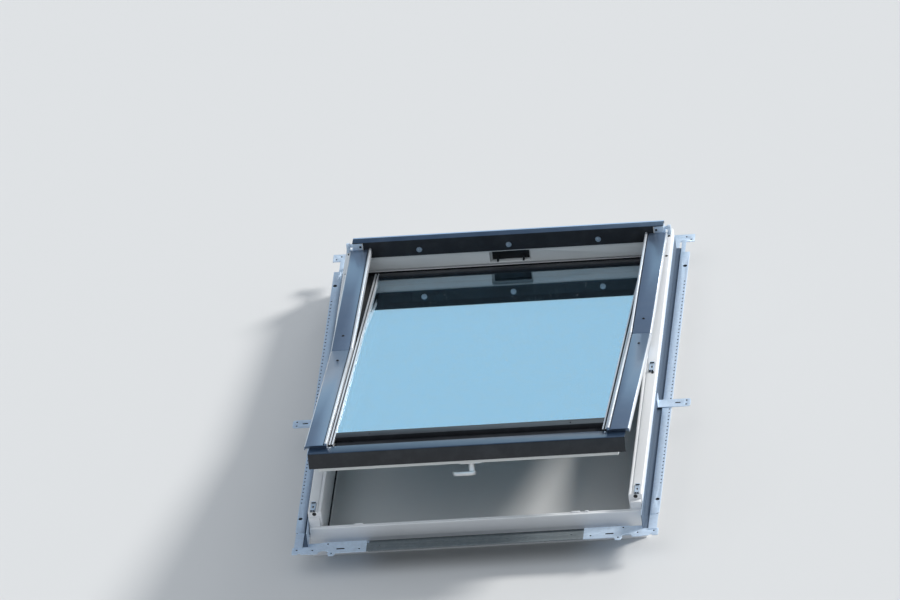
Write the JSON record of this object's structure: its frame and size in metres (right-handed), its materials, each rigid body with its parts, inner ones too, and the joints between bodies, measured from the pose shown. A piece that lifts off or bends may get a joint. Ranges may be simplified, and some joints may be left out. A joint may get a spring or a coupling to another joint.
{
  "type": "roof window",
  "caption": "Inclined roof window held open: grey metal covers, double glazing in a tilted sash, white frame, perforated side flanges and zinc fixing brackets.",
  "frame": {"origin": "middle of the bottom mounting rail, on its underside, which is screwed to the batten", "axes": "+X to the right, +Y up the slope of the roof, +Z straight out of the roof"},
  "size_m": [1.13, 1.568, 0.3517],
  "materials": {
    "frame_white": "white moulded coat",
    "sash_white": "white moulded coat",
    "cover_grey": "satin slate-grey coat",
    "cover_dark": "satin anthracite coat",
    "zinc": "zinc-plated",
    "hinge_steel": "plated",
    "glass": "clear",
    "spacer": "mill finish",
    "seal": "matt black",
    "handle": "satin",
    "strike": "black"
  },
  "bodies": {
    "root": {"left_jamb": "frame_white", "right_jamb": "frame_white", "head": "frame_white", "sill": "frame_white", "corner_blocks": "frame_white", "left_stile": "sash_white", "right_stile": "sash_white", "sash_top_rail": "sash_white", "sash_bottom_rail": "sash_white", "transom": "sash_white", "left_upper_cover": "cover_grey", "right_upper_cover": "cover_grey", "left_lower_cover": "cover_grey", "right_lower_cover": "cover_grey", "bottom_cover": "cover_grey", "top_bead": "cover_grey", "transom_cover": "cover_dark", "gutter": "cover_dark", "bottom_bead": "cover_dark", "left_bead": "cover_dark", "right_bead": "cover_dark", "left_flange": "zinc", "right_flange": "zinc", "bottom_rail": "zinc", "left_bottom_bracket": "zinc", "right_bottom_bracket": "zinc", "left_side_bracket": "zinc", "right_side_bracket": "zinc", "left_top_bracket": "zinc", "right_top_bracket": "zinc", "cover_clips": "zinc", "left_arm": "hinge_steel", "right_arm": "hinge_steel", "left_top_hinge": "hinge_steel", "right_top_hinge": "hinge_steel", "left_pivot": "hinge_steel", "right_pivot": "hinge_steel", "latch": "hinge_steel", "outer_pane": "glass", "inner_pane": "glass", "glass_spacer": "spacer", "frame_seal": "seal", "head_seal": "seal", "glass_seal": "seal", "handle": "handle", "latch_strike": "strike"}
  },
  "joints": []
}
